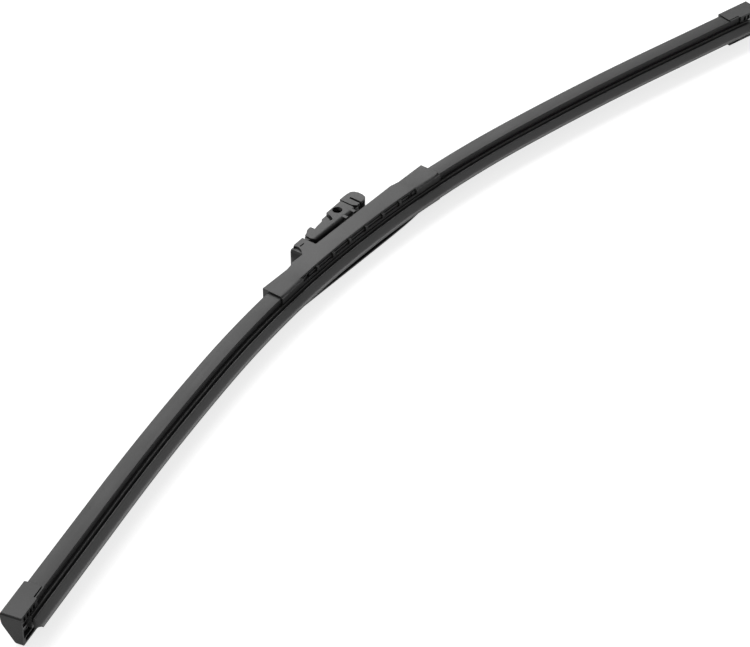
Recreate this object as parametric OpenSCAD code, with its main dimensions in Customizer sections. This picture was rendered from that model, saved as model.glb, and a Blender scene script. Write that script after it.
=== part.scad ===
// Flat wiper blade with a hook adapter, lying on its side.
// X runs along the blade, Y points away from the glass and Z is the blade's width, up from the table.
// The origin is the middle of the adapter's cross hole, on the blade's mid-plane.
// Inside the modules, h is the height along Y above the crest line of the spoilers, and s is the
// distance along that bowed line from the blade's middle.

/* [Blade] */
// Length over both end caps, measured along the bow
blade_l = 600; // [560:1:640]
// How far the adapter sits from the middle of that length
adapter_shift = 2; // [0:0.5:6]
// Radius of the bow in the middle of the blade
bow_mid_r = 670; // [600:5:760]
// Radius of the flatter bow next to it
bow_out_r = 1650; // [1400:10:2000]
// Width over the leeward and windward walls of the spoilers
spoiler_w = 14.1; // [14:0.1:14.4]

/* [Wiping rubber] */
// Depth of the lip's edge below the crest line
lip_depth = 15.2; // [15:0.1:15.8]
// Width of the wedge under the neck
wedge_w = 5.8; // [5.2:0.1:6.4]
// Thickness of the neck that lets the wedge tilt
neck_t = 1.1; // [0.9:0.1:1.4]
// Thickness of the lip at its edge
lip_t = 0.7; // [0.6:0.1:1]
// How far the rubber stops short of each end cap's outer end
rubber_setback = 7; // [6:0.5:9]

/* [Rails] */
// Thickness of each spring steel rail
rail_t = 0.9; // [0.8:0.1:0.9]
// Width of each rail
rail_w = 4.3; // [4:0.1:4.3]
// Width of the rubber's web between the two rails
web_w = 2.4; // [2:0.1:2.4]

/* [End caps] */
// Length of each end cap
cap_l = 21; // [18:0.5:26]
// Thickness of the cap's end wall
cap_end_t = 1.2; // [1:0.1:1.8]
// How far the spoiler reaches into the cap
cap_grip = 7; // [5:0.5:8]

/* [Centre cover] */
// Length of the rigid centre cover
cover_l = 125.6; // [122:0.2:130]
// Length of its raised middle
raised_l = 77; // [76:1:80]
// Height of the raised middle above the crest line
raised_h = 1.9; // [1.6:0.1:2.2]
// Width of each window along the lower edge
window_w = 11.5; // [10:0.5:12]
// How far each spoiler reaches into the cover
spoiler_grip = 20; // [16:0.5:20]

/* [Adapter] */
// Radius of the cross hole for a side pin
side_pin_r = 2.45; // [2.4:0.01:2.5]
// Width of the channel that takes the wiper arm's hook
hook_channel_w = 9.2; // [9.1:0.1:9.4]
// Width over the adapter's two cheeks
adapter_w = 13.2; // [13:0.1:13.3]
// Radius of the rounded end that the hook bends around
hook_r = 2.85; // [2.7:0.05:2.9]
// Radius of the rivet that the adapter turns on
rivet_r = 2; // [1.9:0.05:2.1]
// Running gap between the rivet and its bore
running_gap = 0.05; // [0.03:0.01:0.08]

/* [Hidden] */

// bow: a middle arc, two flatter arcs and straight ends
mid_half = 120;
out_half = 220;
deg = 180 / PI;
ring_gap = 10;
bow_sides = 720;
mid_turn = mid_half / bow_mid_r * deg;
out_turn = mid_turn + (out_half - mid_half) / bow_out_r * deg;
mid_end = [bow_mid_r * sin(mid_turn), bow_mid_r * (cos(mid_turn) - 1)];
out_centre = mid_end - bow_out_r * [sin(mid_turn), cos(mid_turn)];
out_end = out_centre + bow_out_r * [sin(out_turn), cos(out_turn)];
near_end = -blade_l / 2 - adapter_shift;
far_end = blade_l / 2 - adapter_shift;

// heights below the crest line
claw_h = -8.1;
rail_low = -7.3;
rail_high = rail_low + rail_t;
slot_low = rail_low - 0.04;
slot_high = rail_high + 0.04;
head_top = -5.1;
flange_step = -8.9;
flange_low = -9.6;
shoulder_h = -10.6;
cover_low = -9;
wall_low = -10.3;

// half widths across the blade
wall_z = spoiler_w / 2;
rail_in = web_w / 2 + 0.05;
rail_out = rail_in + rail_w;
slot_z = rail_out + 0.1;
claw_z = 4;
head_z = 2.9;
flange_z = 3.6;
cover_z = 8;
rest_z = -7.6;

// adapter, measured from the blade's middle
hole_x = 9.2;
hole_y = 11.4;
rivet_y = 7.6;
ear_r = 2.6;
ear_foot = 7;
hinge_x = 23.2;
hinge_y = 8.3;
channel_y = 10.7;
cheek_z = adapter_w / 2;
channel_z = hook_channel_w / 2;
ear_in = 2.8;
ear_t = 1;
ear_gap_out = ear_in + ear_t + 0.3;
bulb_x = -14;
bulb_y = channel_y - hook_r;
well_x0 = -20.4;
well_x1 = 34;
roof_x0 = 8;
roof_y = 13.9;

// steel bracket, clear of both spoilers
bracket_half = cover_l / 2 - spoiler_grip - 2.8;
bracket_out = slot_z + 0.9;

// half of the rubber's profile as [h, z]: head with a rail groove, flange, neck, wedge and lip
rubber_half = [
    [head_top, head_z - 0.4],
    [head_top - 0.4, head_z],
    [slot_high, head_z],
    [slot_high, web_w / 2],
    [slot_low, web_w / 2],
    [slot_low, head_z],
    [flange_step, head_z],
    [flange_step, flange_z],
    [flange_low, flange_z],
    [flange_low, neck_t / 2],
    [shoulder_h, neck_t / 2],
    [shoulder_h, wedge_w / 2],
    [shoulder_h - 0.6, wedge_w / 2],
    [shoulder_h - 1.5, wedge_w * 0.34],
    [shoulder_h - 2.5, wedge_w * 0.19],
    [1.1 - lip_depth, lip_t / 2 + 0.1],
    [-lip_depth, lip_t / 2]
];

// the spoiler's profile as [h, z]: upright leeward wall, rounded crest and sloping windward side,
// with claws round the rails and room for the rubber's head
spoiler_points = [
    [claw_h, wall_z],
    [claw_h, claw_z],
    [slot_low, claw_z],
    [slot_low, slot_z],
    [slot_high, slot_z],
    [slot_high, head_z + 0.1],
    [head_top + 0.05, head_z + 0.1],
    [head_top + 0.05, -head_z - 0.1],
    [slot_high, -head_z - 0.1],
    [slot_high, -slot_z],
    [slot_low, -slot_z],
    [slot_low, -claw_z],
    [claw_h, -claw_z],
    [claw_h, 0.1 - wall_z],
    [-6.8, -6.7],
    [-5.9, -6.1],
    [-5.1, -5.1],
    [-3.6, -2.6],
    [-1.6, 0.6],
    [-0.6, 2.2],
    [-0.1, 4.5],
    [0, wall_z - 0.6],
    [-0.1, wall_z - 0.2],
    [-0.5, wall_z]
];

// moves the blade's middle so that the cross hole is at the origin
module from_hole() {
    translate([-hole_x, -hole_y, 0])
        children();
}

// the bow's crest line: [x, h, turn away from X] at a distance from the middle
function bow_at(s) =
    let(a = abs(s), side = sign(s))
    a <= mid_half
        ? [bow_mid_r * sin(s / bow_mid_r * deg), bow_mid_r * (cos(s / bow_mid_r * deg) - 1), s / bow_mid_r * deg]
        : a <= out_half
            ? let(turn = mid_turn + (a - mid_half) / bow_out_r * deg)
                [side * (out_centre[0] + bow_out_r * sin(turn)), out_centre[1] + bow_out_r * cos(turn), side * turn]
            : [side * (out_end[0] + (a - out_half) * cos(out_turn)),
                out_end[1] - (a - out_half) * sin(out_turn), side * out_turn];

// a profile's points, drawn as [h, z], placed on the bow
function ring(profile, s) =
    let(p = bow_at(s))
    [for (q = profile) [p[0] + q[0] * sin(p[2]), p[1] + q[0] * cos(p[2]), q[1]]];

// sweeps a profile along the whole bow as rings of points
module bow_sweep(profile, from, to) {
    steps = ceil((to - from) / ring_gap);
    n = len(profile);
    points = [for (i = [0:steps]) each ring(profile, from + (to - from) * i / steps)];
    sides = [for (i = [0:steps - 1], j = [0:n - 1])
        [(i + 1) * n + j, (i + 1) * n + (j + 1) % n, i * n + (j + 1) % n, i * n + j]];
    first = [for (j = [0:n - 1]) j];
    last = [for (j = [n - 1:-1:0]) steps * n + j];
    polyhedron(points, concat([first, last], sides), convexity = 6);
}

// sweeps a profile, drawn as [h, z], exactly along the bow's middle arc
module bow_run(from, to) {
    translate([0, -bow_mid_r, 0])
        rotate([0, 0, 90 - to / bow_mid_r * deg])
            rotate_extrude(angle = (to - from) / bow_mid_r * deg, $fn = bow_sides)
                translate([bow_mid_r, 0])
                    children();
}

// the frame on the crest line in a straight end, at a distance from the middle
module at_end(s) {
    translate([out_end[0], out_end[1], 0])
        rotate([0, 0, -out_turn])
            translate([s - out_half, 0, 0])
                children();
}

// extrudes a profile drawn as [h, z] along X
module along_x(length) {
    rotate([90, 0, 90])
        linear_extrude(length)
            children();
}

// extrudes an outline drawn as [x, h] between two widths
module side_plate(low_z, high_z) {
    translate([0, 0, low_z])
        linear_extrude(high_z - low_z)
            children();
}

// extrudes an outline drawn as [x, z] between two heights
module plan_block(low_h, high_h) {
    translate([0, high_h, 0])
        rotate([90, 0, 0])
            linear_extrude(high_h - low_h)
                children();
}

// a rectangle between two corners
module span(a, b) {
    translate(a)
        square(b - a);
}

// wiping rubber, the same on both sides of its mid-plane
function other_half(half) =
    let(last = len(half) - 1)
    [for (i = [0:last]) [half[last - i][0], -half[last - i][1]]];

module wiper_rubber() {
    color([0.16, 0.16, 0.165])
        from_hole()
            bow_sweep(concat(rubber_half, other_half(rubber_half)), near_end + rubber_setback,
                far_end - rubber_setback);
}

// spring steel rails in the rubber's grooves
module rail(side) {
    low_z = side > 0 ? rail_in : -rail_out;
    corners = [[rail_high, low_z], [rail_high, low_z + rail_w], [rail_low, low_z + rail_w], [rail_low, low_z]];
    color([0.34, 0.35, 0.36])
        from_hole()
            bow_sweep(corners, near_end + cap_end_t + 0.6, far_end - cap_end_t - 0.6);
}

module leeward_rail() {
    rail(1);
}

module windward_rail() {
    rail(-1);
}

// room for the rails, the rubber's head and the rubber below the claws
module rail_room() {
    span([slot_low, -slot_z], [slot_high, slot_z]);
    span([slot_high - 1, -head_z - 0.1], [head_top + 0.05, head_z + 0.1]);
    span([cover_low - 2, -claw_z], [slot_high, claw_z]);
}

module spoiler(from, to) {
    color([0.15, 0.15, 0.15])
        from_hole()
            bow_sweep(spoiler_points, from, to);
}

module near_spoiler() {
    spoiler(near_end + cap_l - cap_grip, spoiler_grip - cover_l / 2);
}

module far_spoiler() {
    spoiler(cover_l / 2 - spoiler_grip, far_end - cap_l + cap_grip);
}

// end cap: a hood over the spoiler's end, then claws under the rails, then a closed end
module cap_outline() {
    polygon([
        [cover_low, wall_z + 0.7],
        [0.7, wall_z + 0.7],
        [1.1, wall_z + 0.3],
        [1, 4.6],
        [0.6, 2.1],
        [-0.2, 0.6],
        [-4.9, -6.5],
        [-5.8, -7.2],
        [-6.8, rest_z],
        [cover_low, rest_z]
    ]);
}

// room inside the hood for the spoiler, with a hair of clearance
module spoiler_room() {
    polygon([
        [cover_low - 1, wall_z + 0.05],
        [-0.45, wall_z + 0.05],
        [-0.05, wall_z - 0.15],
        [0.05, wall_z - 0.6],
        [-0.05, 4.5],
        [-0.55, 2.15],
        [-1.55, 0.55],
        [-3.55, -2.65],
        [-5.05, -5.15],
        [-5.85, -6.2],
        [-6.75, -6.8],
        [claw_h, 0.05 - wall_z],
        [cover_low - 1, 0.05 - wall_z]
    ]);
}

// drawn with its closed end at x = 0 and the blade going towards +x; a thin finger runs along
// the hood's leeward edge, and pockets lighten the underside on both sides of the rubber
module cap_shape() {
    hood_x = cap_l - cap_grip;
    finger_low = -8.5;
    finger_high = -7.9;
    pocket_top = -7.9;
    pocket_pitch = 2.6;
    difference() {
        along_x(cap_l)
            cap_outline();
        translate([cap_end_t, 0, 0])
            along_x(hood_x)
                rail_room();
        translate([hood_x, 0, 0])
            along_x(cap_grip + 1)
                spoiler_room();
        translate([hood_x, 0, 0])
            along_x(cap_grip + 1)
                span([cover_low - 1, 0.05 - wall_z], [-7.4, wall_z]);
        translate([hood_x, 0, 0])
            along_x(cap_grip + 1)
                span([cover_low - 1, wall_z - 1], [finger_low, cover_z]);
        translate([hood_x, 0, 0])
            along_x(cap_grip + 1)
                span([finger_high, wall_z - 0.1], [finger_high + 0.6, cover_z]);
        for (x = [cap_end_t + 1:pocket_pitch:hood_x - pocket_pitch])
            translate([x, 0, 0])
                along_x(pocket_pitch - 0.8)
                    span([cover_low - 1, claw_z + 0.4], [pocket_top, wall_z - 0.2]);
        translate([cap_end_t + 1, 0, 0])
            along_x(hood_x - cap_end_t - 2)
                span([cover_low - 1, 0.5 - wall_z], [pocket_top, -claw_z - 0.4]);
        plan_block(-12, 3)
            cap_corner(0, wall_z + 0.7);
        plan_block(-12, 3)
            cap_corner(1, -rest_z);
    }
}

// the material outside a small rounded corner at the closed end, seen in plan;
// turned is 1 for the windward corner
module cap_corner(turned, half_w) {
    r = 0.9;
    mirror([0, turned])
        difference() {
            span([-1, half_w - r], [r, half_w + 1]);
            translate([r, half_w - r])
                circle(r, $fn = 24);
        }
}

module near_end_cap() {
    color([0.16, 0.16, 0.16])
        from_hole()
            mirror([1, 0, 0])
                at_end(-near_end)
                    mirror([1, 0, 0])
                        cap_shape();
}

module far_end_cap() {
    color([0.16, 0.16, 0.16])
        from_hole()
            at_end(far_end)
                mirror([1, 0, 0])
                    cap_shape();
}

// steel bracket: a channel clamped round both rails, with two ears for the rivet
module bracket_profile() {
    difference() {
        union() {
            span([claw_h, -bracket_out], [slot_high + 1, bracket_out]);
            span([slot_high, -head_z - 1], [head_top + 1, head_z + 1]);
        }
        rail_room();
    }
}

module ear_outline() {
    hull() {
        translate([0, rivet_y])
            circle(ear_r, $fn = 48);
        span([-ear_foot, head_top + 0.2], [ear_foot, head_top + 0.8]);
    }
}

module rail_bracket() {
    color([0.32, 0.33, 0.34])
        from_hole() {
            bow_run(-bracket_half, bracket_half)
                bracket_profile();
            for (side = [0, 1])
                mirror([0, 0, side])
                    difference() {
                        side_plate(ear_in, ear_in + ear_t)
                            ear_outline();
                        translate([0, rivet_y, ear_in - 1])
                            cylinder(ear_t + 2, r = rivet_r + 0.01, $fn = 64);
                    }
        }
}

module pivot_rivet() {
    head_t = 0.2;
    shank = 2 * (ear_in + ear_t);
    color([0.55, 0.56, 0.57])
        from_hole()
            translate([0, rivet_y, 0]) {
                cylinder(shank, r = rivet_r, center = true, $fn = 64);
                for (side = [0, 1])
                    mirror([0, 0, side])
                        translate([0, 0, shank / 2])
                            cylinder(head_t, r = rivet_r + 0.6, $fn = 64);
            }
}

// centre cover seen from the side, above its bowed lower edge
module cover_side() {
    polygon([
        [-cover_l / 2, -14],
        [-cover_l / 2, 0.1],
        [-raised_l / 2 - 6, 0.1],
        [-raised_l / 2 - 2.4, 0.7],
        [-raised_l / 2, raised_h],
        [raised_l / 2, raised_h],
        [raised_l / 2 + 2.4, 1.2],
        [raised_l / 2 + 6, 0.4],
        [cover_l / 2, 0.1],
        [cover_l / 2, -14]
    ]);
}

// centre cover seen from its end
module cover_section() {
    polygon([
        [-14, cover_z],
        [raised_h - 0.4, cover_z],
        [raised_h, cover_z - 0.4],
        [raised_h - 0.2, 4],
        [raised_h - 0.9, 1.6],
        [-5, -7],
        [-6, rest_z],
        [-14, rest_z]
    ]);
}

// windward wall of the well, which the cut-out for the adapter leaves standing
module windward_wall() {
    half = raised_l / 2;
    side_plate(rest_z, rest_z + 0.85)
        polygon([
            [-half - 3.5, -9.5],
            [-half - 3.5, -5],
            [-half + 2.5, 1],
            [half - 2.5, 1],
            [half + 3.5, -5],
            [half + 3.5, -9.5],
            [half + 0.5, wall_low],
            [-half + 2.5, wall_low]
        ]);
}

// rounded fairing in front of the adapter
module fairing() {
    intersection() {
        side_plate(rest_z, cover_z - 0.9)
            polygon([
                [well_x0, -4],
                [well_x0, 9.8],
                [-27.8, 9.6],
                [-30.4, 9.2],
                [-31.4, 8.4],
                [-31.9, 6.8],
                [-32, 0],
                [-32, -4]
            ]);
        plan_block(-5, 11)
            polygon([
                [well_x0, cover_z],
                [-28.8, cover_z],
                [-30.8, 5.8],
                [-31.8, 3.6],
                [-31.8, 0.6],
                [-30.6, -3.2],
                [-28, rest_z],
                [well_x0, rest_z]
            ]);
        translate([well_x0 - 20, 0, 0])
            along_x(30)
                polygon([
                    [-5, cover_z],
                    [9, cover_z],
                    [9.6, 5.8],
                    [9.6, 0.8],
                    [8.2, -1.8],
                    [4, rest_z],
                    [-5, rest_z]
                ]);
    }
    side_plate(cover_z - 1, cover_z)
        polygon([
            [well_x0, 0],
            [well_x0, 9.8],
            [-27.2, 9.5],
            [-28.4, 8.9],
            [-27.5, 8],
            [-27.5, 6.2],
            [-28.6, 3.9],
            [-30.4, 2.2],
            [-31.4, 0]
        ]);
}

// windows along the lower edge of the leeward wall
module cover_windows() {
    pitch = window_w + 1.8;
    for (i = [-3:3])
        bow_run(i * pitch - window_w / 2, i * pitch + window_w / 2)
            span([cover_low - 2, claw_z + 1.2], [-7.7, cover_z + 1]);
}

module centre_cover() {
    color([0.17, 0.17, 0.17])
        from_hole()
            difference() {
                union() {
                    intersection() {
                        side_plate(rest_z, cover_z)
                            cover_side();
                        translate([-cover_l / 2, 0, 0])
                            along_x(cover_l)
                                cover_section();
                        bow_run(-cover_l / 2 - 4, cover_l / 2 + 4)
                            span([cover_low, rest_z - 1], [12, cover_z + 1]);
                    }
                    windward_wall();
                    fairing();
                }
                side_plate(rest_z + 0.85, cover_z - 1)
                    span([well_x0, -5.5], [well_x1, 20]);
                fairing_hollow();
                bow_run(-bracket_half - 1, bracket_half + 1)
                    span([claw_h - 0.06, -bracket_out - 0.1], [head_top + 1.1, bracket_out + 0.1]);
                bow_run(-cover_l / 2 - 4, cover_l / 2 + 4)
                    rail_room();
                for (side = [0, 1])
                    mirror([side, 0, 0])
                        bow_run(cover_l / 2 - spoiler_grip - 0.6, cover_l / 2 + 4)
                            spoiler_in_cover();
                bow_run(-cover_l / 2 - 4, cover_l / 2 + 4)
                    polygon([[-7.2, cover_z], [cover_low + 0.6, cover_z - 0.8], [cover_low - 2, cover_z - 1.3],
                        [cover_low - 2, cover_z + 1], [-7.2, cover_z + 1]]);
                cover_windows();
                side_plate(cover_z - 2, cover_z + 1)
                    span([-26.4, 6.1], [-23.6, 6.7]);
            }
}

// room for the spoiler's end inside the cover
module spoiler_in_cover() {
    difference() {
        spoiler_room();
        span([cover_low - 2, -cover_z], [claw_h - 0.06, cover_z]);
    }
}

// hollow under the fairing
module fairing_hollow() {
    side_plate(-4.4, cover_z - 2)
        polygon([
            [well_x0 - 1.2, -6],
            [well_x0 - 1.2, 7.6],
            [-28.6, 7.2],
            [-30, 4],
            [-30.4, -6]
        ]);
}

// adapter cheeks seen from the side
module cheek_outline() {
    union() {
        translate([bulb_x, bulb_y])
            circle(hook_r, $fn = 64);
        polygon([
            [bulb_x, bulb_y - hook_r],
            [13.4, bulb_y - hook_r],
            [15.2, bulb_y - hook_r + 0.5],
            [16.1, 7],
            [16.1, 14.8],
            [3.9, 14.2],
            [2.1, 12.9],
            [-1.6, 12.7],
            [-2.7, 11.7],
            [-7.6, 11.1],
            [-9.6, channel_y],
            [-9.7, 13],
            [-10.1, 13.3],
            [-11.7, 13.2],
            [-12.9, 12.9],
            [-14.8, 11.7],
            [-16.5, 11.2],
            [-16.85, bulb_y]
        ]);
    }
}

// tongue that carries the lock cap, cut back below so that the cap can swing under it
module tongue_outline() {
    union() {
        translate([hinge_x, hinge_y])
            circle(2.1, $fn = 48);
        polygon([
            [15, hinge_y - 2.1],
            [19.2, hinge_y - 2.1],
            [21.3, hinge_y - 0.9],
            [hinge_x, hinge_y],
            [hinge_x, channel_y],
            [15, channel_y]
        ]);
    }
}

// slots for the bracket's ears, and the mouth through which the adapter drops over the rivet
module rivet_room() {
    for (side = [0, 1])
        mirror([0, 0, side])
            side_plate(ear_in - 0.25, ear_gap_out)
                span([-6.5, 0], [6.5, rivet_y + ear_r + 0.35]);
    translate([0, rivet_y, 0])
        cylinder(2 * ear_gap_out, r = rivet_r + running_gap, center = true, $fn = 64);
    side_plate(-ear_gap_out, ear_gap_out)
        span([-1.75, 0], [1.75, rivet_y]);
}

// pockets that keep the adapter's walls thin, open below
module adapter_pockets() {
    side_plate(-3.2, 3.2)
        span([-12.4, 0], [-7.4, 8.6]);
    side_plate(-channel_z, channel_z)
        span([hole_x - side_pin_r - 0.4, 0], [hole_x + side_pin_r + 0.4, roof_y]);
    side_plate(-3.2, 3.2)
        span([hole_x, 0], [18.4, hinge_y - 0.3]);
    for (side = [0, 1])
        mirror([0, 0, side]) {
            side_plate(channel_z + 0.4, cheek_z + 1)
                polygon([[0.2, 8.8], [1.9, 8.5], [3.4, 11.2], [4.2, 14.6], [3.4, 14.6], [2.1, 12.5]]);
            side_plate(ear_gap_out + 0.2, cheek_z + 1)
                polygon([[0.2, 8.8], [1.9, 8.5], [2.9, 10.3], [1, 10.3]]);
        }
}

// what the rounding of a cheek's lower edge takes away
module lower_edge() {
    translate([-18, bulb_y - hook_r, cheek_z])
        along_x(36)
            polygon([[-1, -2.9], [0, -1.2], [0.35, -0.6], [1, -0.2], [2, 0], [2, 1], [-1, 1]]);
}

module adapter_body() {
    color([0.18, 0.18, 0.18])
        from_hole()
            difference() {
                union() {
                    difference() {
                        side_plate(-cheek_z, cheek_z)
                            cheek_outline();
                        side_plate(-channel_z, channel_z)
                            span([-20, channel_y], [30, 20]);
                        for (side = [0, 1])
                            mirror([0, 0, side])
                                lower_edge();
                    }
                    intersection() {
                        side_plate(-cheek_z, cheek_z)
                            cheek_outline();
                        side_plate(-channel_z - 0.5, channel_z + 0.5)
                            span([roof_x0, roof_y], [17, 16]);
                    }
                    side_plate(-5.6, 5.6)
                        tongue_outline();
                    for (side = [0, 1])
                        mirror([0, 0, side])
                            adapter_trim();
                }
                rivet_room();
                adapter_pockets();
                translate([hole_x, hole_y, 0])
                    cylinder(adapter_w + 2, r = side_pin_r, center = true, $fn = 72);
                translate([hinge_x, hinge_y, 0])
                    cylinder(adapter_w + 2, r = 1.25 + running_gap, center = true, $fn = 48);
            }
}

// small guide left of the rounded end and two snap feet below one cheek
module adapter_trim() {
    side_plate(channel_z, cheek_z - 0.7)
        polygon([[bulb_x - 2, 6.6], [bulb_x - 4.1, 8.2], [bulb_x - 4.2, 10], [bulb_x - 3.2, 10.9], [bulb_x, 11]]);
    side_plate(cheek_z - 0.9, cheek_z)
        for (x = [6.3, 12.6])
            span([x, 3.8], [x + 1.9, 6.6]);
}

// lock cap seen from the side
module lock_outline() {
    polygon([
        [16.5, 15.5],
        [21.5, 15.6],
        [24.6, 15.2],
        [26, 13.9],
        [26.7, 12],
        [26.7, 9.4],
        [25.9, 6.9],
        [24.4, 6.1],
        [17.8, 5.8],
        [16.5, 8]
    ]);
}

module lock_cap() {
    wall_in = 5.8;
    wall_out = 6.9;
    color([0.18, 0.18, 0.18])
        from_hole() {
            difference() {
                side_plate(-wall_out, wall_out)
                    lock_outline();
                side_plate(-wall_in, wall_in) {
                    span([0, 0], [23.4, 14.6]);
                    translate([hinge_x, hinge_y])
                        circle(2.3, $fn = 48);
                    span([20, hinge_y], [25.5, 13.4]);
                }
                for (side = [0, 1])
                    mirror([0, 0, side])
                        side_plate(wall_in - 1, wall_out + 1)
                            span([20.1, 0], [21.3, 12.4]);
            }
            for (side = [0, 1])
                mirror([0, 0, side])
                    translate([hinge_x, hinge_y, channel_z - 0.4])
                        cylinder(wall_in - channel_z + 0.5, r = 1.25, $fn = 48);
        }
}

wiper_rubber();
leeward_rail();
windward_rail();
near_spoiler();
far_spoiler();
near_end_cap();
far_end_cap();
rail_bracket();
centre_cover();
pivot_rivet();
adapter_body();
lock_cap();
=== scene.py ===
# %% [markdown]
# # A flat wiper blade, lying on its side
#
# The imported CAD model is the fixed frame: it gives every piece its real size and place, in metres.
# This lesson dresses it. The extruded pieces, which are the wiping rubber and the two spoilers, are
# swept again with fine rounded profiles. The moulded pieces keep their CAD shape in joined copies
# that shade smoothly, and a bevel in the shading turns the light softly round their hard edges. The
# steel pieces keep their CAD meshes. The camera comes first, and the floor and the light come last.

# %% Load the frame
import math

import bmesh
import bpy
import numpy as np
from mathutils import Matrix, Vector


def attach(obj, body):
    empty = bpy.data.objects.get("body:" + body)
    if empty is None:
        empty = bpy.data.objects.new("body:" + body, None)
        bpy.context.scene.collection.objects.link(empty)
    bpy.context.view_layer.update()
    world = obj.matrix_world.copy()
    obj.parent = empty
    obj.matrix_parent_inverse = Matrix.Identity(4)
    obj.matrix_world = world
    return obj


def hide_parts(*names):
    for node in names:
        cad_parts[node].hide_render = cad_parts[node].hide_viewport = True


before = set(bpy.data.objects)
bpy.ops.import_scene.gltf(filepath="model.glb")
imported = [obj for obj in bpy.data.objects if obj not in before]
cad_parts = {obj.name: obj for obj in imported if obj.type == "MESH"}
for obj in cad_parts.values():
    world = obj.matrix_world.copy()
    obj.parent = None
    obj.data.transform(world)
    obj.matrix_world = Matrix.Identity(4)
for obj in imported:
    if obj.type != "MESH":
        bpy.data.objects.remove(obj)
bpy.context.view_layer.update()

MM = 0.001

# %% [markdown]
# The camera comes first, because everything else is judged through it. It stands about 1.4 m from
# the blade and looks down on it across the near end, through a long lens. A camera needs a place
# and a direction; the direction here is two angles, an azimuth round the blade and an elevation.

# %% Camera
CAMERA_PLACE = Vector((-872.53, -683.95, 820.99)) * MM
AZIMUTH = math.radians(-52.862)
ELEVATION = math.radians(38.620)
LENS = 134.8
SENSOR = 36.0
CLIP_NEAR, CLIP_FAR = 0.05, 50

towards_camera = Vector((
    math.sin(AZIMUTH) * math.cos(ELEVATION),
    -math.cos(AZIMUTH) * math.cos(ELEVATION),
    math.sin(ELEVATION),
))
camera_data = bpy.data.cameras.new("camera")
camera_data.lens = LENS
camera_data.sensor_width = SENSOR
camera_data.clip_start, camera_data.clip_end = CLIP_NEAR, CLIP_FAR
camera = bpy.data.objects.new("camera", camera_data)
camera.location = CAMERA_PLACE
camera.rotation_mode = "QUATERNION"
camera.rotation_quaternion = (-towards_camera).to_track_quat("-Z", "Y")
bpy.context.scene.collection.objects.link(camera)
bpy.context.scene.camera = camera

# %% [markdown]
# The blade is bowed so that a curved windscreen presses it flat. Its crest line is an arc in the
# middle, a flatter arc on either side and a straight run to each end. Every extruded piece follows
# that one line, so it is worked out once, as a function of the distance s along it.

# %% The bow
HOLE = np.array([9.2, 11.4])         # the cross hole, seen from the blade's middle
MID_R, OUT_R = 670.0, 1650.0         # radii of the middle arc and of the two flatter arcs
MID_HALF, OUT_HALF = 120.0, 220.0    # where the arcs end, along the line from the middle
NEAR_END, FAR_END = -302.0, 298.0    # outer faces of the two end caps


def bow(s):
    """Place and turn of the crest line at distances s in mm.

    In each arc the turn grows with s / radius and the point moves on a circle; past the last arc
    the point runs straight on along the tangent. Both halves are mirror images. The place is seen
    from the cross hole, which is the frame's origin."""
    a, side = np.abs(s), np.where(s < 0, -1.0, 1.0)
    mid_turn = MID_HALF / MID_R
    out_turn = mid_turn + (OUT_HALF - MID_HALF) / OUT_R
    turn = np.minimum(a, MID_HALF) / MID_R
    turn = turn + np.clip(a - MID_HALF, 0, OUT_HALF - MID_HALF) / OUT_R
    x = MID_R * np.sin(np.minimum(turn, mid_turn))
    y = MID_R * (np.cos(np.minimum(turn, mid_turn)) - 1)
    beyond = np.clip(turn, mid_turn, out_turn)
    x = x + OUT_R * (np.sin(beyond) - math.sin(mid_turn))
    y = y + OUT_R * (np.cos(beyond) - math.cos(mid_turn))
    straight = np.maximum(a - OUT_HALF, 0)
    x = x + straight * math.cos(out_turn)
    y = y - straight * math.sin(out_turn)
    return side * x - HOLE[0], y - HOLE[1], side * turn


# %% [markdown]
# A profile with sharp corners looks like paper, because a real extrusion's corners catch a thin
# line of light. Each corner is therefore cut back a little along both of its sides, and a short
# quadratic curve joins the two cuts.

# %% Rounded profiles
def rounded(corners, cuts, steps=4):
    """Outline with eased corners.

    A and B lie a cut's length before and after the corner C, and the curve between them is
    (1 - u)^2 A + 2 u (1 - u) C + u^2 B for u from 0 to 1."""
    c = np.array(corners, float)
    cut = np.array(cuts, float)[:, None]
    to_last, to_next = np.roll(c, 1, 0) - c, np.roll(c, -1, 0) - c
    to_last /= np.linalg.norm(to_last, axis=1, keepdims=True)
    to_next /= np.linalg.norm(to_next, axis=1, keepdims=True)
    a, b = c + to_last * cut, c + to_next * cut
    u = np.linspace(0, 1, steps)[None, :, None]
    curve = (1 - u) ** 2 * a[:, None] + 2 * u * (1 - u) * c[:, None] + u**2 * b[:, None]
    return curve.reshape(-1, 2)


# %% [markdown]
# A sweep carries the outline along the bow. As a grid it has one row for each step along the line
# and one column for each point of the outline, and the whole grid is worked out as arrays. Its UV
# map holds real lengths, the distance along the blade and the distance round the outline, so that a
# pattern can run along the extrusion as the marks of a die do. Each point also keeps its height in
# the profile, so that a finish can change where the profile does.

# %% Sweeps along the bow
SWEPT_BEND = math.radians(35)


def new_piece(name, points, faces, bend=SWEPT_BEND):
    """A mesh object of points in mm and faces, smooth wherever it turns by less than the bend."""
    mesh = bpy.data.meshes.new(name)
    mesh.from_pydata((points * MM).tolist(), [], faces)
    mesh.shade_smooth()
    mesh.set_sharp_from_angle(angle=bend)
    piece = bpy.data.objects.new(name, mesh)
    bpy.context.scene.collection.objects.link(piece)
    return piece


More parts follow.
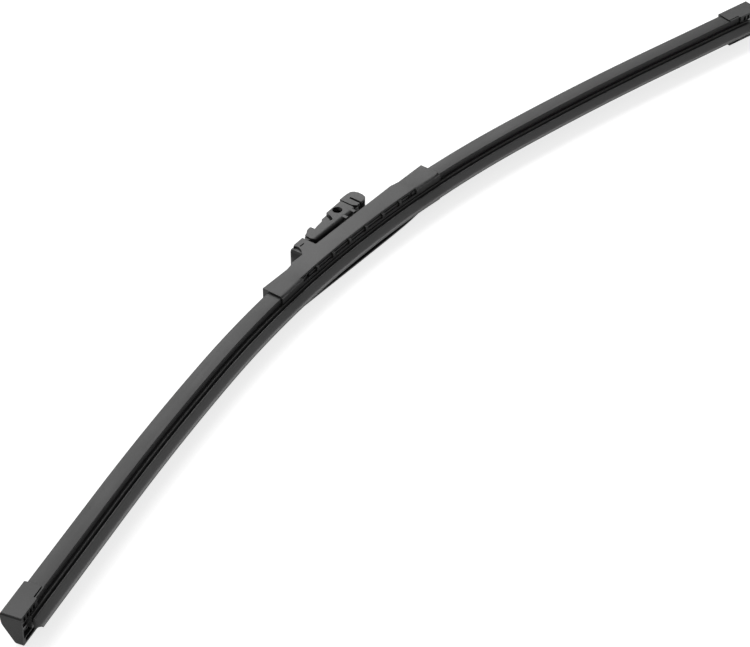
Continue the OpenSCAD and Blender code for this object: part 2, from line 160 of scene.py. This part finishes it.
def sweep(name, outline, start, end, step=2.0, foot=None):
    """The outline, given as (height, width) pairs, carried along the bow from start to end.

    A point of height h stands h out from the crest line: x + h sin(turn), y + h cos(turn). A foot
    is a line of (x, y) pairs, measured from the blade's middle, that no point goes below."""
    rows = int(math.ceil((end - start) / step)) + 1
    s = np.linspace(start, end, rows)
    x, y, turn = bow(s)
    h, z = outline[:, 0], outline[:, 1]
    grid = np.stack([
        x[:, None] + h * np.sin(turn)[:, None],
        y[:, None] + h * np.cos(turn)[:, None],
        np.broadcast_to(z, (rows, len(z))),
    ], axis=-1)
    if foot:
        foot_x, foot_y = np.transpose(foot)
        lowest = np.interp(grid[..., 0] + HOLE[0], foot_x, foot_y) - HOLE[1]
        grid[..., 1] = np.maximum(grid[..., 1], lowest)
    columns = len(outline)
    i, j = np.meshgrid(np.arange(rows - 1), np.arange(columns), indexing="ij")
    k = (j + 1) % columns
    this, after = i * columns, (i + 1) * columns
    quads = np.stack([this + j, this + k, after + k, after + j], -1).reshape(-1, 4)
    near, far = np.arange(columns)[::-1], (rows - 1) * columns + np.arange(columns)
    faces = quads.tolist() + [near.tolist(), far.tolist()]
    piece = new_piece(name, grid.reshape(-1, 3), faces)
    edge = np.linalg.norm(np.roll(outline, -1, 0) - outline, axis=1)
    around = np.concatenate([[0], np.cumsum(edge)])
    length = s - s[0]
    uv_quads = np.stack([
        np.stack([length[i], around[j]], -1), np.stack([length[i], around[j + 1]], -1),
        np.stack([length[i + 1], around[j + 1]], -1), np.stack([length[i + 1], around[j]], -1),
    ], axis=2).reshape(-1, 2)
    uv_ends = np.concatenate([outline[::-1], outline])
    layer = piece.data.uv_layers.new(name="lengths")
    layer.data.foreach_set("uv", (np.concatenate([uv_quads, uv_ends]) * MM).ravel())
    height = piece.data.attributes.new("height", "FLOAT", "POINT")
    height.data.foreach_set("value", np.tile(h, rows))
    print(f"{name}: {rows} rows of {columns} points")
    return piece


# %% [markdown]
# The finishes are sums of noise and masks. Written with one node after another they can't be read,
# so a small class wraps a socket: an expression on it adds the Math nodes, and one method adds any
# other node.

# %% Shader maths
class Value:
    """A socket of one material's node tree that takes part in sums."""

    def __init__(self, tree, socket=None):
        self.tree, self.socket = tree, socket

    def node(self, kind, settings=(), inputs=(), output=0):
        """Adds a node, its settings first and then the values or links of its inputs."""
        made = self.tree.nodes.new(kind)
        for name, value in dict(settings).items():
            setattr(made, name, value)
        for name, value in dict(inputs).items():
            if isinstance(value, Value):
                self.tree.links.new(value.socket, made.inputs[name])
            else:
                made.inputs[name].default_value = value
        return Value(self.tree, made.outputs[output] if made.outputs else None)

    def maths(self, operation, *terms):
        return self.node("ShaderNodeMath", {"operation": operation}, enumerate(terms))

    def __add__(self, other):
        return self.maths("ADD", self, other)

    def __mul__(self, other):
        return self.maths("MULTIPLY", self, other)

    __radd__, __rmul__ = __add__, __mul__

    def mix(self, first, second):
        """Colour between two greys or colours, by this value."""
        ends = {0: self, 6: colour(first), 7: colour(second)}
        return self.node("ShaderNodeMix", {"data_type": "RGBA"}, ends, 2)


def colour(shade):
    """A grey as a colour; a socket's value stays as it is."""
    return shade if isinstance(shade, Value) else (shade, shade, shade, 1)


# %% [markdown]
# A material starts as a Principled shader with its constant sockets set. What varies over the
# surface reaches only the base colour, the roughness and the normal. Noise averages one half, so
# where noises add to a roughness, half the sum of their weights comes off it, and its mean stays as
# given.

# %% A finish
def finish(name, roughness, metallic=0.0, sheen=0.5):
    """(material, its Principled shader, a Value to start sums from).

    The sheen is the strength of the mirror reflection; 0.5 is that of a clean, smooth plastic, and
    a rough or dusty one has less."""
    made = bpy.data.materials.new(name)
    made.use_nodes = True
    shader = made.node_tree.nodes["Principled BSDF"]
    shader.inputs["Roughness"].default_value = roughness
    shader.inputs["Metallic"].default_value = metallic
    shader.inputs["Specular IOR Level"].default_value = sheen
    return made, shader, Value(made.node_tree)


def feed(shader, **sockets):
    """Links values to the shader's sockets; an underscore in a name stands for a space."""
    for name, value in sockets.items():
        value.tree.links.new(value.socket, shader.inputs[name.replace("_", " ")])


def noise(start, place, scale, detail=2.0, stretch=(1, 1, 1)):
    """Noise of about 1 / scale metres a lump, its coordinates first multiplied by stretch."""
    moved = start.node("ShaderNodeMapping", {}, {"Vector": place, "Scale": stretch})
    return start.node("ShaderNodeTexNoise", {}, {"Vector": moved, "Scale": scale, "Detail": detail})


def band(start, height, top, bottom):
    """0 where a height in mm is above top and 1 where it is below bottom, with a soft change."""
    ends = {"Value": height, "From Min": top, "From Max": bottom}
    return start.node("ShaderNodeMapRange", {}, ends)


def bump(start, strength, depth, height, **more):
    """A normal bent by a height map whose full range is depth mm."""
    relief = {"Strength": strength, "Distance": depth * MM, "Height": height, **more}
    return start.node("ShaderNodeBump", {}, relief)


def moulded(name, dark, light, roughness, sheen=0.5, edge=0.25, grain=0.35, grain_size=0.45):
    """Moulded black plastic.

    Colour and roughness drift over a few centimetres where the melt cooled unevenly. The mould's
    spark-eroded grain is a fine bump, over a normal that turns smoothly round every hard edge
    within the given number of millimetres."""
    made, shader, start = finish(name, roughness, sheen=sheen)
    place = start.node("ShaderNodeTexCoord", output=3)
    drift = noise(start, place, 35, 3)
    eroded = noise(start, place, 1000 / grain_size, 3)
    shade = (drift * 0.75 + eroded * 0.25).mix(dark, light)
    rough = drift * 0.16 + eroded * 0.1 + (roughness - 0.13)
    eased = start.node("ShaderNodeBevel", {"samples": 6}, {"Radius": edge * MM})
    relief = bump(start, grain, 0.1, eroded, Normal=eased)
    feed(shader, Base_Color=shade, Roughness=rough, Normal=relief)
    return made


def extruded(name, dark, light, roughness, streak=0.2, sheen=0.5, bands=()):
    """Extruded rubber or soft plastic.

    The die leaves faint streaks along the length, so the noise is read in the UV map's lengths and
    stretched forty times along the blade. Each band (top, bottom, dark, light) has its own greys
    below its heights in the profile."""
    made, shader, start = finish(name, roughness, sheen=sheen)
    place = start.node("ShaderNodeTexCoord", output=2)
    streaks = noise(start, place, 900, 3, (0.025, 1, 1))
    drift = noise(start, place, 40, 3)
    bloom = noise(start, place, 2500, 2)
    marks = streaks * 0.45 + drift * 0.35 + bloom * 0.2
    shade = marks.mix(dark, light)
    height = start.node("ShaderNodeAttribute", {"attribute_name": "height"}, output=2)
    # A band's greys may be painted light; on the rubber they are partly painted light and a painted
    # highlight.
    for top, bottom, band_dark, band_light in bands:
        shade = band(start, height, top, bottom).mix(shade, marks.mix(band_dark, band_light))
    rough = drift * 0.14 + streaks * 0.12 + (roughness - 0.13)
    relief = bump(start, streak, 0.05, streaks + bloom * 0.5)
    feed(shader, Base_Color=shade, Roughness=rough, Normal=relief)
    return made


def rolled(name, shade, roughness):
    """Rolled or stamped spring steel: fine rolling lines along the length, over a dull grey."""
    made, shader, start = finish(name, roughness, 0.9)
    place = start.node("ShaderNodeTexCoord", output=3)
    lines = noise(start, place, 1500, 2, (0.03, 1, 1))
    tint = lines.mix(shade * 0.8, shade * 1.15)
    rough = lines * 0.2 + (roughness - 0.1)
    feed(shader, Base_Color=tint, Roughness=rough, Normal=bump(start, 0.1, 0.03, lines))
    return made


# The rubber's bands: the coated wedge is greyer partly as painted light, the lip paler as a painted
# highlight.
COATED_AND_PAINTED_LIGHT_BELOW, LIP_PAINTED_HIGHLIGHT_BELOW = (-11.0, -11.6), (-14.2, -14.7)
rubber_finish = extruded(
    "wiping_rubber", 0.035, 0.055, 0.55,
    bands=((*COATED_AND_PAINTED_LIGHT_BELOW, 0.07, 0.10), (*LIP_PAINTED_HIGHLIGHT_BELOW, 0.11, 0.15)))
spoiler_finish = extruded("soft_spoiler", 0.009, 0.029, 0.48, 0.3, sheen=0.3)
cap_finish = moulded("cap_plastic", 0.012, 0.032, 0.46, sheen=0.3)
cover_finish = moulded("cover_plastic", 0.014, 0.037, 0.45, sheen=0.3)
adapter_finish = moulded("adapter_plastic", 0.015, 0.038, 0.45, sheen=0.3)
rail_finish = rolled("spring_steel", 0.32, 0.38)
# The bracket's grey is set darker than its coating: painted shade for the windows it shows through.
bracket_coat_and_painted_shade = rolled("bracket_steel", 0.07, 0.5)
rivet_finish = rolled("rivet_steel", 0.5, 0.3)

# %% [markdown]
# The wiping rubber hangs in the blade by its head. Below it comes a flange, a thin neck that lets
# the wedge tilt over when the wiper turns back, then the wedge and a thin lip. The wedge is coated
# for an easy glide, and its greyer tone is partly that coating and partly painted light that lifts
# the wedge's shaded flank. The lip is the palest part, a painted highlight over its paler cut edge.
# The swept mesh stands for the CAD node, which MuJoCo keeps.

# %% Wiping rubber
RUBBER_HALF = [
    (-5.1, 2.5, 0.2), (-5.5, 2.9, 0.2), (-6.36, 2.9, 0.1), (-6.36, 1.2, 0.1), (-7.34, 1.2, 0.1),
    (-7.34, 2.9, 0.1), (-8.9, 2.9, 0.15), (-8.9, 3.6, 0.15), (-9.6, 3.6, 0.2), (-9.6, 0.55, 0.25),
    (-10.6, 0.55, 0.25), (-10.6, 2.9, 0.3), (-11.2, 2.9, 0.25), (-12.1, 1.97, 0.5),
    (-13.1, 1.1, 0.5), (-14.1, 0.45, 0.4), (-15.2, 0.35, 0.08),
]
rubber_half = np.array(RUBBER_HALF)
rubber_all = np.concatenate([rubber_half, rubber_half[::-1] * [1, -1, 1]])
RUBBER_INSET = 7.0
rubber_outline = rounded(rubber_all[:, :2], rubber_all[:, 2])
rubber = sweep("rubber_blade", rubber_outline, NEAR_END + RUBBER_INSET, FAR_END - RUBBER_INSET)
rubber.data.materials.append(rubber_finish)
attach(rubber, "blade")
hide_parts("wiper_rubber")

# %% [markdown]
# Each spoiler is a soft extrusion: an upright wall on the side that shows here, a rounded crest and
# a hollow slope on the windward side. Its claws hold the rails.

# %% Spoilers
SPOILER = [
    (-8.1, 7.05, 0.3), (-8.1, 4.0, 0.15), (-7.34, 4.0, 0.05), (-7.34, 5.65, 0.05),
    (-6.36, 5.65, 0.05), (-6.36, 3.0, 0.05), (-5.05, 3.0, 0.05), (-5.05, -3.0, 0.05),
    (-6.36, -3.0, 0.05), (-6.36, -5.65, 0.05), (-7.34, -5.65, 0.05), (-7.34, -4.0, 0.05),
    (-8.1, -4.0, 0.15), (-8.1, -6.95, 0.3), (-6.8, -6.7, 0.4), (-5.9, -6.1, 0.4),
    (-5.1, -5.1, 0.5), (-3.6, -2.6, 0.9), (-1.6, 0.6, 0.7), (-0.6, 2.2, 0.7), (-0.1, 4.5, 0.8),
    (0, 6.45, 0.15), (-0.1, 6.85, 0.15), (-0.5, 7.05, 0.15),
]
IN_CAP, IN_COVER = 14.0, 42.8
spoiler_all = np.array(SPOILER)
spoiler_outline = rounded(spoiler_all[:, :2], spoiler_all[:, 2])
for name, start, end in (
    ("near", NEAR_END + IN_CAP, -IN_COVER),
    ("far", IN_COVER, FAR_END - IN_CAP),
):
    spoiler = sweep(f"spoiler_{name}", spoiler_outline, start, end)
    spoiler.data.materials.append(spoiler_finish)
    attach(spoiler, "blade")
    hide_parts(f"{name}_spoiler")

# %% [markdown]
# The moulded pieces already have their shape in the CAD model, but a CAD mesh is loose flat
# triangles, so a rounded end shows its facets. A copy with the triangles joined can shade smoothly
# across small bends and stay sharp at real edges. Weighted normals let the large flat faces keep
# their own direction, so that only the narrow facets turn.

# %% Moulded pieces
MOULDED_BEND = math.radians(40)
WELD = 0.001


def moulding(name, node, body, material):
    """A joined, smooth copy that stands for the CAD node."""
    shell = bmesh.new()
    shell.from_mesh(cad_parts[node].data)
    bmesh.ops.remove_doubles(shell, verts=shell.verts, dist=WELD * MM)
    shell.verts.index_update()
    points = np.array([corner.co for corner in shell.verts]) / MM
    faces = [[corner.index for corner in face.verts] for face in shell.faces]
    shell.free()
    piece = new_piece(name, points, faces, MOULDED_BEND)
    piece.data.materials.append(material)
    normals = piece.modifiers.new("weighted_normals", "WEIGHTED_NORMAL")
    normals.keep_sharp = True
    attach(piece, body)
    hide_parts(node)
    print(f"{name}: {len(points)} points, {len(faces)} faces")


moulding("near_cap_moulding", "near_end_cap", "blade", cap_finish)
moulding("far_cap_moulding", "far_end_cap", "blade", cap_finish)
moulding("cover_moulding", "centre_cover", "blade", cover_finish)
moulding("adapter_moulding", "adapter_body", "adapter", adapter_finish)
moulding("lock_moulding", "lock_cap", "lock", adapter_finish)

# %% [markdown]
# The cover's windward wall ends in a thin trim, which shows as a black line below the lip. The
# blade bows, but the trim's lower edge is straight and only rises at its far end. It is swept from
# inside the wall far past that edge, and whatever would lie below the edge is set on it.

# %% Trim of the windward wall
TRIM = np.array([(-8.6, -7.58), (-8.6, -6.77), (-15, -6.77), (-15, -7.58)])
TRIM_FOOT = [(-60, -11.6), (20, -11.6), (34, -11.4), (41, -11.1), (48, -10.5), (60, -10.5)]
TRIM_START, TRIM_END = -58, 49
trim = sweep("cover_trim", TRIM, TRIM_START, TRIM_END, foot=TRIM_FOOT)
trim.data.materials.append(cover_finish)
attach(trim, "blade")

# %% [markdown]
# The rails, the bracket and the rivet are steel and nearly hidden. Their CAD meshes stay and only
# get a finish, which goes into the first slot of each mesh. The bracket's very dark grey is partly
# its coating and partly painted shade, where it shows through the cover's windows.

# %% Steel pieces
for node, material in (
    ("leeward_rail", rail_finish),
    ("windward_rail", rail_finish),
    ("rail_bracket", bracket_coat_and_painted_shade),
    ("pivot_rivet", rivet_finish),
):
    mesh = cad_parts[node].data
    mesh.materials.clear()
    mesh.materials.append(material)

# %% [markdown]
# The blade lies on a white table. A matt floor takes its soft shadow. For rays that come from the
# camera, or from a mirror or glass, the floor is a little brighter than matt white can be, so that
# the table shows white without more light on the blade.

# %% Floor
FLOOR_Z = -7.6
FLOOR_HALF = 4000.0
MATT_WHITE, SHOWN_WHITE, GLOW = 0.8, 0.45, 0.77
corners = np.array([[-1, -1], [1, -1], [1, 1], [-1, 1]]) * FLOOR_HALF
floor = new_piece("floor", np.column_stack([corners, np.full(4, FLOOR_Z)]), [[0, 1, 2, 3]])
table = bpy.data.materials.new("table")
table.use_nodes = True
tree = table.node_tree
tree.nodes.clear()
start = Value(tree)
camera_ray = start.node("ShaderNodeLightPath", output=0)
glossy_ray = start.node("ShaderNodeLightPath", output=3)
through_ray = start.node("ShaderNodeLightPath", output=6)
seen = start.maths("MAXIMUM", start.maths("MAXIMUM", camera_ray, glossy_ray), through_ray)
matt = start.node("ShaderNodeBsdfDiffuse", {}, {"Color": colour(MATT_WHITE)})
white = start.node("ShaderNodeBsdfDiffuse", {}, {"Color": colour(SHOWN_WHITE)})
glow = start.node("ShaderNodeEmission", {}, {"Color": colour(1.0), "Strength": GLOW})
lifted = start.node("ShaderNodeAddShader", {}, {0: white, 1: glow})
shown = start.node("ShaderNodeMixShader", {}, {0: seen, 1: matt, 2: lifted})
start.node("ShaderNodeOutputMaterial", {}, {"Surface": shown})
floor.data.materials.append(table)

# %% [markdown]
# The light is plain and soft: one wide softbox above and behind the blade, on the side away from
# the glass, so that the upper faces carry its broad sheen and the shadow falls forward, a weaker
# one on the left, and a pale room all round.

# %% Light
def softbox(name, direction, distance, size, watts):
    """A square area lamp that faces the blade from a direction, its size and distance in metres."""
    data = bpy.data.lights.new(name, "AREA")
    data.size, data.energy = size, watts
    lamp = bpy.data.objects.new(name, data)
    way = Vector(direction).normalized()
    lamp.location = way * distance
    lamp.rotation_mode = "QUATERNION"
    lamp.rotation_quaternion = (-way).to_track_quat("-Z", "Y")
    bpy.context.scene.collection.objects.link(lamp)


softbox("back_softbox", (0.55, 0.62, 0.75), 1.9, 1.5, 34)
softbox("left_softbox", (-0.5, 0.75, 0.8), 1.8, 0.9, 9)

BACKDROP, ROOM = 1.0, 0.25
world = bpy.data.worlds.new("room")
bpy.context.scene.world = world
world.use_nodes = True
tree = world.node_tree
tree.nodes.clear()
start = Value(tree)
camera_ray = start.node("ShaderNodeLightPath", output=0)
backdrop = start.node("ShaderNodeBackground", {}, {"Color": colour(1.0), "Strength": BACKDROP})
room = start.node("ShaderNodeBackground", {}, {"Color": colour(1.0), "Strength": ROOM})
shown = start.node("ShaderNodeMixShader", {}, {0: camera_ray, 1: room, 2: backdrop})
start.node("ShaderNodeOutputWorld", {}, {"Surface": shown})

bpy.context.scene.view_settings.view_transform = "Standard"
